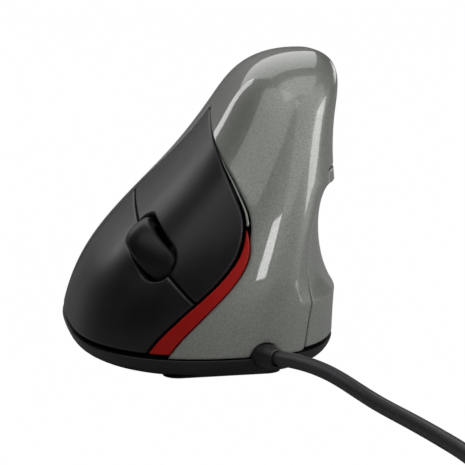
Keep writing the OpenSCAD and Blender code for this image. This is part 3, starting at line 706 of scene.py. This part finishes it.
def add_tie():
    """A hook-and-loop strap round the coil's section."""
    x0 = COIL_AT[0] - 4
    half = 1.5 * COIL_PITCH
    y0, y1 = COIL_AT[1] - COIL_R - half - 0.6, COIL_AT[1] - COIL_R + half + 1.2
    top = COIL_Z + 4 * CABLE_D + 0.9
    outline = []
    corner = 2.2
    for cy, cz, start in ((y1 - corner, top - corner, 0), (y0 + corner, top - corner, 90),
                          (y0 + corner, corner + 0.02, 180), (y1 - corner, corner + 0.02, 270)):
        for i in range(7):
            a = math.radians(start + 15 * i)
            outline.append((cy, cz, math.cos(a), math.sin(a)))
    points, faces = [], []
    for x in (x0, x0 + 8):
        for r in (corner, corner - 0.45):
            points += [Vector((x, cy + r * c, cz + r * s)) * MM for cy, cz, c, s in outline]
    n = len(outline)
    for i in range(n):
        j = (i + 1) % n
        faces += [(i, j, 2 * n + j, 2 * n + i), (n + i, 3 * n + i, 3 * n + j, n + j),
                  (i, n + i, n + j, j), (2 * n + i, 2 * n + j, 3 * n + j, 3 * n + i)]
    strap = make_mesh("coil_strap", points, faces)
    sharp_edges(strap, 50)
    return dress(strap, STRAP)


cable = add_cable()
mould = add_plug_mould()
tie = add_tie()
for piece, node, kind in ((mould, "usb_mould", "plug_mould"), (tie, "coil_tie", "black_plastic")):
    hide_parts(node)
    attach(piece, "case")
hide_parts("cable", "cable_coil")
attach(cable, "case")

# ---------------------------------------------------------------- shell pieces
GROMMET_R = 2.9
GROMMET_ROOM = 0.1
PORT_AT = Vector((9.2, -50.2, 6.6))
PORT_TURN = 30
PORT = (Matrix.Translation(PORT_AT) @ Matrix.Rotation(math.radians(PORT_TURN), 4, "Z")
        @ Matrix.Rotation(math.radians(90), 4, "X"))
PORT_AXIS = np.array(PORT.to_3x3().col[2])
FACE_FRAME = Matrix.Translation(Vector(FACE_AT)) @ Matrix(FACE.tolist()).to_4x4()


def face_region(s, a, p, dist, grow=0.0, band=0.0):
    """Distance inside the finger side, from its back edge to its front edge and up to the crest."""
    z = p[..., 2]
    return np.minimum.reduce([
        dist(a - face_lo(z) + grow),
        dist(face_hi(z) + band - a),
        dist(CREST_S + grow / 50 - s)])


def panel_region(s, a, p, dist, grow=0.0):
    """Distance inside the thumb side's panel, grown by a number of gaps."""
    return np.minimum.reduce([
        dist(a - PANEL_FRONT + 0.35 * grow),
        dist(PANEL_BACK + 0.35 * grow - a),
        dist(PANEL_S[1] + 0.01 * grow - s)])


def button_region(s, a, p, dist, limits, grow=0.0):
    """Distance inside a thumb button's outline, grown by a number of gaps."""
    return np.minimum.reduce([
        dist(a - limits[0] + BUTTON_GAP * grow),
        dist(limits[1] + BUTTON_GAP * grow - a),
        dist(s - BUTTON_S[0] + BUTTON_GAP_S * grow),
        dist(BUTTON_S[1] + BUTTON_GAP_S * grow - s)])


def off_port(p):
    """Distance outside the cable's bore, near the bore's mouth."""
    q = p - np.array(PORT_AT)
    along = q @ PORT_AXIS
    away = np.linalg.norm(q - along[..., None] * PORT_AXIS, axis=-1)
    return np.where(p[..., 1] < -30, away - GROMMET_R - GROMMET_ROOM, FAR_INSIDE)


def shell_field(s, a, p, dist):
    """What the finger side, the thumb panel and the cable's bore leave of the skin."""
    z = p[..., 2]
    face = face_region(s, a, p, dist, 0.5, band_at(z) + 0.4)
    panel = panel_region(s, a, p, dist, 1)
    return np.minimum.reduce([-face, -panel, dist(s), off_port(p)])


def panel_field(s, a, p, dist):
    """The thumb panel, with room for its buttons."""
    inside = np.minimum(panel_region(s, a, p, dist), dist(s - PANEL_S[0]))
    for limits in BUTTON_ANGLE:
        inside = np.minimum(inside, -button_region(s, a, p, dist, limits, 1))
    return inside


def key_field(side):
    """The key on one side of the split, less its half of the wheel's slot."""
    def field(s, a, p, dist):
        local = in_face(p)
        x, y = local[..., 0], local[..., 1]
        straight = (SLOT_L - SLOT_W) / 2
        pill = np.hypot(x, np.maximum(np.abs(y) - straight, 0)) - SLOT_W / 2
        return np.minimum.reduce([
            face_region(s, a, p, dist, 0, -KEY_GAP), dist(s - KEY_S), dist(KEY_REAR - p[..., 1]),
            dist(side * x - SPLIT_GAP / 2), dist(pill)])
    return field


def rear_field(s, a, p, dist):
    """The finger side behind the keys."""
    return np.minimum.reduce([
        face_region(s, a, p, dist, 0, -KEY_GAP), dist(s - SKIRT_S - 0.003), dist(p[..., 1] - KEY_REAR - 0.5)])


def trim_field(s, a, p, dist):
    """The stripe beyond the finger side's front edge."""
    z = p[..., 2]
    return np.minimum.reduce([
        dist(a - face_hi(z)), dist(face_hi(z) + trim_at(z) - a), dist(s - SKIRT_S - 0.002)])


def lip_field(s, a, p, dist):
    """The lip beyond the same edge, up to the crest."""
    z = p[..., 2]
    return np.minimum.reduce([
        dist(a - face_hi(z) - 0.1), dist(face_hi(z) + lip_at(z) - 0.4 - a),
        dist(s - LIP_LOW_S), dist(CREST_S - s)])


def merge(obj, others):
    """Adds the other objects' meshes to obj and removes those objects."""
    bm = bmesh.new()
    bm.from_mesh(obj.data)
    for other in others:
        bm.from_mesh(other.data)
        bpy.data.objects.remove(other, do_unlink=True)
    bm.to_mesh(obj.data)
    bm.free()
    return obj


def ring_at(x, y, z, radius, segments=32):
    """Points of a level ring round x, y."""
    angles = [2 * math.pi * i / segments for i in range(segments)]
    return [Vector((x + radius * math.cos(a), y + radius * math.sin(a), z)) for a in angles]


def post_to_skin(obj, place, x, y, low, radius, bore=0.0, bore_depth=0.0):
    """A post along z of a frame that stands at x, y and grows from low until it is inside obj's wall."""
    start = place @ Vector((x, y, low)) * MM
    direction = (place.to_3x3() @ Vector((0, 0, 1))).normalized()
    ring = ring_at(x, y, low, radius)
    tops = []
    for offset in ring:
        hit, spot, _, _ = obj.ray_cast(place @ offset * MM, direction, distance=POST_REACH * MM)
        tops.append((spot - start).dot(direction) / MM + POST_SINK if hit else None)
    longest = max(t for t in tops if t is not None)
    tops = [longest if t is None else t for t in tops]
    points = [place @ o * MM for o in ring]
    points += [place @ (o + Vector((0, 0, t))) * MM for o, t in zip(ring, tops)]
    n = len(ring)
    faces = [(i, (i + 1) % n, n + (i + 1) % n, n + i) for i in range(n)]
    faces.append(tuple(range(n, 2 * n)))
    if bore:
        for z in (low, low + bore_depth):
            points += [place @ o * MM for o in ring_at(x, y, z, bore)]
        for i in range(n):
            j = (i + 1) % n
            faces += [(i, 2 * n + i, 2 * n + j, j), (2 * n + i, 3 * n + i, 3 * n + j, 2 * n + j)]
        faces.append(tuple(range(3 * n, 4 * n)))
    else:
        faces.append(tuple(reversed(range(n))))
    post = make_mesh("post", points, faces)
    sharp_edges(post, 40)
    return post


def stand_for(piece, node, body, material):
    """Dresses a piece and puts it in the place of a CAD node, with its body and slot."""
    dress(piece, material)
    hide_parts(node)
    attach(piece, body)


BOSS_AT = [(-14, 40), (20, 28), (23, -24)]
BOSS_R = 2.8
BOSS_LOW = 2.8
THREAD_R = 1.25
THREAD_DEPTH = 11
POST_REACH = 120
POST_SINK = 0.6
UPRIGHT = Matrix.Identity(4)
SWITCH_X = 12.7
SWITCH_Y = -2
# A stem starts a gap above the plunger of the switch that stands on its board.
KEY_BOARD_TOP = -20
KEY_SWITCH_H = 6.5
THUMB_BOARD_TOP = 21.6
THUMB_SWITCH_H = 3.6
PLUNGER_H = 0.8
STEM_GAP = 0.2
STEM_LOW = KEY_BOARD_TOP + KEY_SWITCH_H + PLUNGER_H + STEM_GAP
THUMB_STEM_LOW = THUMB_BOARD_TOP + THUMB_SWITCH_H + PLUNGER_H + STEM_GAP
KEY_STEM_R = 1.5
THUMB_STEM_R = 1.3
THUMB_SWITCH_Y = (-17, -5)
THUMB_SWITCH_Z = 42
SIDEWAYS = Matrix(((0, 0, 1, 0), (1, 0, 0, 0), (0, 1, 0, 0), (0, 0, 0, 1)))

shell = skin_piece("gray_shell", (0, 0.985), (90, 450), shell_field, 0.5, rows=130, cols=301, closed=True)
merge(shell, [post_to_skin(shell, UPRIGHT, x, y, BOSS_LOW, BOSS_R, THREAD_R, THREAD_DEPTH)
              for x, y in BOSS_AT])
stand_for(shell, "main_shell", "case", PAINT)

panel = skin_piece("thumb_side_panel", (0, 0.56), (PANEL_FRONT - 1, PANEL_BACK + 1), panel_field, 0.35,
                   rows=110, cols=190)
stand_for(panel, "thumb_panel", "case", PAINT)

for side, cap, node in ((1, "upper_key_cap", "upper_key"), (-1, "lower_key_cap", "lower_key")):
    key = skin_piece(cap, (0.0, CREST_S + 0.02), (115, 261), key_field(side), 0.55, rows=150, cols=200)
    merge(key, [post_to_skin(key, FACE_FRAME, side * SWITCH_X, SWITCH_Y, STEM_LOW, KEY_STEM_R)])
    stand_for(key, node, node, SOFT)

rear = skin_piece("finger_rear_panel", (0.0, CREST_S + 0.02), (115, 200), rear_field, 0.5, rows=110, cols=110)
stand_for(rear, "rear_side_panel", "case", SOFT)

# The stripe is thin, so that the pressed upper key clears its inner side.
trim = skin_piece("red_stripe", (0.0, 0.36), (234, 272), trim_field, 0.45, 0.15, WALL - 0.9,
                  rows=110, cols=110)
stand_for(trim, "red_trim", "case", RED)

lip = skin_piece("crest_lip", (0.37, CREST_S + 0.01), (130, 266), lip_field, 0.3, -0.1, WALL - 0.4,
                 rows=120, cols=420)
stand_for(lip, "edge_lip", "case", PAINT)

for i, name in enumerate(("front_thumb_button", "rear_thumb_button")):
    limits = BUTTON_ANGLE[i]
    button = skin_piece(name + "_cap", (BUTTON_S[0] - 0.01, BUTTON_S[1] + 0.01),
                        (limits[0] - 1, limits[1] + 1),
                        lambda s, a, p, dist: button_region(s, a, p, dist, limits), 0.9, 0.7, WALL, 40, 110)
    merge(button, [post_to_skin(button, SIDEWAYS, THUMB_SWITCH_Y[i], THUMB_SWITCH_Z, THUMB_STEM_LOW,
                                THUMB_STEM_R)])
    stand_for(button, name, name, SOFT)

# ---------------------------------------------------------------- base
BASE_OUTER = [(0.4, 6.6), (0.43, 6.0), (0.6, 5.2), (1.0, 4.1), (1.45, 3.2), (1.9, 2.45), (2.4, 1.82), (3, 1.25),
              (3.7, 0.76), (4.4, 0.38), (5.0, 0.15), (5.4, 0.02), (5.58, 0.04), (5.67, 0.12), (5.7, 0.24)]
TONGUE_IN = 3.4
TONGUE_T = 1.2
TONGUE_Z = 7.5
FLOOR_TOP = 2.6
MAIN_Z = 8.0
BOARD_POSTS = [(-16, -4), (14, -4), (-16, 32), (14, 32)]
SCREWS_AT = BOSS_AT + [(-24, -20)]
SCREW_R = 1.4
SCREW_HEAD_R = 2.6
SCREW_HEAD_TOP = 1.9
SENSOR_AT = (0, 12)
SENSOR_HOLE_R = 4.5


def outline(z, inset, count):
    """The seam's outline, drawn in by inset, at height z."""
    p = rim(np.zeros(count), np.linspace(0, 360, count, endpoint=False), inset)
    p[:, 2] = z
    return p


def add_base():
    """The base dish: outside, rim tongue and floor, with its holes and board posts."""
    count = 300
    inner = [(5.7, TONGUE_IN), (TONGUE_Z - 0.2, TONGUE_IN), (TONGUE_Z, TONGUE_IN + 0.2),
             (TONGUE_Z, TONGUE_IN + TONGUE_T - 0.2), (TONGUE_Z - 0.2, TONGUE_IN + TONGUE_T),
             (3.2, TONGUE_IN + TONGUE_T), (2.75, TONGUE_IN + TONGUE_T + 0.5),
             (FLOOR_TOP, TONGUE_IN + TONGUE_T + 1.4)]
    levels = BASE_OUTER + inner
    points = np.vstack([outline(z, inset, count) for z, inset in levels]) * MM
    faces = []
    for k in range(len(levels) - 1):
        for j in range(count):
            m = (j + 1) % count
            faces.append((k * count + j, k * count + m, (k + 1) * count + m, (k + 1) * count + j))
    last = (len(levels) - 1) * count
    faces += [tuple(reversed(range(count))), tuple(last + j for j in range(count))]
    base = make_mesh("base_tray", points, faces)
    cutters = [solid_rod(GROMMET_R + GROMMET_ROOM, -9, 11, PORT),
               solid_rod(SENSOR_HOLE_R, -1, 5, Matrix.Translation((*SENSOR_AT, 0)))]
    for x, y in SCREWS_AT:
        cutters.append(solid_rod(SCREW_R, 1.5, 6, Matrix.Translation((x, y, 0))))
        cutters.append(solid_rod(SCREW_HEAD_R, -1, SCREW_HEAD_TOP, Matrix.Translation((x, y, 0))))
    cut_with(base, cutters)
    sharp_edges(base, 32)
    posts = []
    for x, y in BOARD_POSTS:
        profile = [(1.1, 3.8), (2.4, FLOOR_TOP - 0.05), (2.4, MAIN_Z - 0.2), (2.2, MAIN_Z),
                   (1.3, MAIN_Z), (1.1, 7.8)]
        posts.append(revolve("post", profile, 40, Matrix.Translation((x, y, 0))))
        sharp_edges(posts[-1], 32)
    return merge(base, posts)


stand_for(add_base(), "base_shell", "case", BASE)


# ---------------------------------------------------------------- wheel and grommet
def tyre_profile():
    """The tyre's section: a crowned tread with round shoulders."""
    half, inner, crown, shoulder = WHEEL_W / 2, WHEEL_R - TYRE_T, 9.0, 1.2
    tread = []
    for k in range(13):
        z = (half - shoulder * 0.8) * (k - 6) / 6
        tread.append((WHEEL_R - crown + math.sqrt(crown ** 2 - z * z), z))
    edge_r = tread[0][0]
    low = [(edge_r - shoulder + shoulder * math.sin(t), -half + shoulder - shoulder * math.cos(t))
           for t in np.radians([0, 22, 45, 68])]
    high = [(r, -z) for r, z in reversed(low)]
    return ([(inner, -half + 0.3), (inner + 0.3, -half)] + low + tread + high
            + [(inner + 0.3, half), (inner, half - 0.3)])


WHEEL = FACE_FRAME @ Matrix.Translation((0, 0, WHEEL_OUT - WHEEL_R)) @ Matrix.Rotation(math.radians(90), 4, "Y")
tyre = revolve("tyre_ring", tyre_profile(), 120, WHEEL)
sharp_edges(tyre, 45)
stand_for(tyre, "wheel_tyre", "wheel", TYRE)

GROMMET_PROFILE = [(1.96, -3.4), (2.9, -3.4), (2.9, 0.9), (2.84, 1.4), (2.72, 1.9),
                   (2.6, 2.6), (2.5, 3.2), (2.35, 3.5), (2.1, 3.6), (1.96, 3.55)]
grommet = revolve("strain_sleeve", GROMMET_PROFILE, 64, PORT)
sharp_edges(grommet, 40)
stand_for(grommet, "cable_grommet", "case", MOULDED)

# ---------------------------------------------------------------- inner parts and the plug
for material, names in CAD_LOOKS.items():
    for name in names:
        dress(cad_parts[name], material)


# ---------------------------------------------------------------- floor and light
FLOOR_RADIUS = 6
FLOOR_DROP = 0.0003
FLOOR_GLOW = 0.995
# The floor's glow for rays that don't come from the camera: its share goes from low to high
# between these distances in metres behind the object.
GLOW_FROM, GLOW_TO = 0.15, 0.9
GLOW_LOW, GLOW_HIGH = 0.02, 0.10
# Strengths of the world's dark gray, and where one turns into the other, as a direction's Y less its Z.
WORLD_FRONT, WORLD_BACK = 0.12, 2.3
BACKDROP_EDGE = (0.45, 0.95)
LIGHT_AIM = Vector((0, 0, 0.035))
LIGHT_DISTANCE = 0.9


def add_floor():
    """A mid gray floor that glows white to the camera, and faintly to all other rays, more so far behind."""
    bpy.ops.mesh.primitive_circle_add(vertices=96, radius=FLOOR_RADIUS, fill_type="NGON",
                                      location=(0, 0, -FLOOR_DROP))
    floor = bpy.context.object
    floor.name = "studio_floor"
    mat, nodes, links, shader = new_material("studio_white")
    grain = noise(nodes, links, object_coords(nodes), 30)
    color = two_tone(nodes, links, grain, (0.30, 0.30, 0.30), (0.31, 0.31, 0.31))
    links.new(color, shader.inputs["Base Color"])
    shader.inputs["Roughness"].default_value = 0.9
    glow = nodes.new("ShaderNodeEmission")
    glow.inputs["Strength"].default_value = 1.0
    mix = nodes.new("ShaderNodeMixShader")
    rays = nodes.new("ShaderNodeLightPath")
    share = nodes.new("ShaderNodeMath")
    share.operation = "MULTIPLY"
    share.inputs[1].default_value = FLOOR_GLOW
    links.new(rays.outputs["Is Camera Ray"], share.inputs[0])
    axes = nodes.new("ShaderNodeSeparateXYZ")
    links.new(object_coords(nodes), axes.inputs["Vector"])
    behind = remap(nodes, links, axes.outputs["Y"], GLOW_LOW, GLOW_HIGH, GLOW_FROM, GLOW_TO)
    brighter = nodes.new("ShaderNodeMath")
    brighter.operation = "MAXIMUM"
    links.new(share.outputs["Value"], brighter.inputs[0])
    links.new(behind, brighter.inputs[1])
    links.new(brighter.outputs["Value"], mix.inputs["Fac"])
    links.new(shader.outputs["BSDF"], mix.inputs[1])
    links.new(glow.outputs["Emission"], mix.inputs[2])
    links.new(mix.outputs["Shader"], nodes["Material Output"].inputs["Surface"])
    floor.data.materials.append(mat)


def add_area(name, azimuth, elevation, size, power):
    """A rectangular light that looks at the middle of the object."""
    data = bpy.data.lights.new(name, "AREA")
    data.shape = "RECTANGLE"
    data.size, data.size_y = size
    data.energy = power
    light = bpy.data.objects.new(name, data)
    coll.objects.link(light)
    away = direction_to(azimuth, elevation)
    light.location = LIGHT_AIM + away * LIGHT_DISTANCE
    light.rotation_euler = (-away).to_track_quat("-Z", "Y").to_euler()


def add_world():
    """A dark world, a little brighter low behind, which gives the clear coat a soft edge to show."""
    world = bpy.data.worlds.new("studio")
    world.use_nodes = True
    sky = world.node_tree
    backdrop = sky.nodes["Background"]
    direction = sky.nodes.new("ShaderNodeTexCoord")
    axes = sky.nodes.new("ShaderNodeSeparateXYZ")
    sky.links.new(direction.outputs["Generated"], axes.inputs["Vector"])
    behind = sky.nodes.new("ShaderNodeMath")
    behind.operation = "SUBTRACT"
    sky.links.new(axes.outputs["Y"], behind.inputs[0])
    sky.links.new(axes.outputs["Z"], behind.inputs[1])
    depth = sky.nodes.new("ShaderNodeMapRange")
    depth.inputs["From Min"].default_value = BACKDROP_EDGE[0]
    depth.inputs["From Max"].default_value = BACKDROP_EDGE[1]
    depth.inputs["To Min"].default_value = WORLD_FRONT
    depth.inputs["To Max"].default_value = WORLD_BACK
    sky.links.new(behind.outputs["Value"], depth.inputs["Value"])
    rays = sky.nodes.new("ShaderNodeLightPath")
    level = sky.nodes.new("ShaderNodeMapRange")
    level.inputs["To Max"].default_value = 1.0
    sky.links.new(rays.outputs["Is Camera Ray"], level.inputs["Value"])
    sky.links.new(depth.outputs["Result"], level.inputs["To Min"])
    sky.links.new(level.outputs["Result"], backdrop.inputs["Strength"])
    scene.world = world


add_floor()
add_world()
scene.view_settings.view_transform = "Standard"

# name, azimuth, elevation, (width, height), watts
for softbox in (
    ("back_soft", 180, 36, (0.60, 0.62), 1.15),
    ("back_strip", -158, 18, (0.10, 0.34), 0.24),
    ("rim_soft", 138, 10, (0.34, 0.20), 0.3),
    ("right_soft", 42, 37, (0.90, 0.76), 1.9),
    ("low_right", 66, 12, (0.46, 0.28), 1.9),
    ("left_soft", -60, 56, (1.50, 0.56), 2.7),
    ("front_strip", 13, 8, (0.06, 0.24), 0.45),
    ("top_soft", 0, 84, (0.70, 0.70), 1.8),
):
    add_area(*softbox)
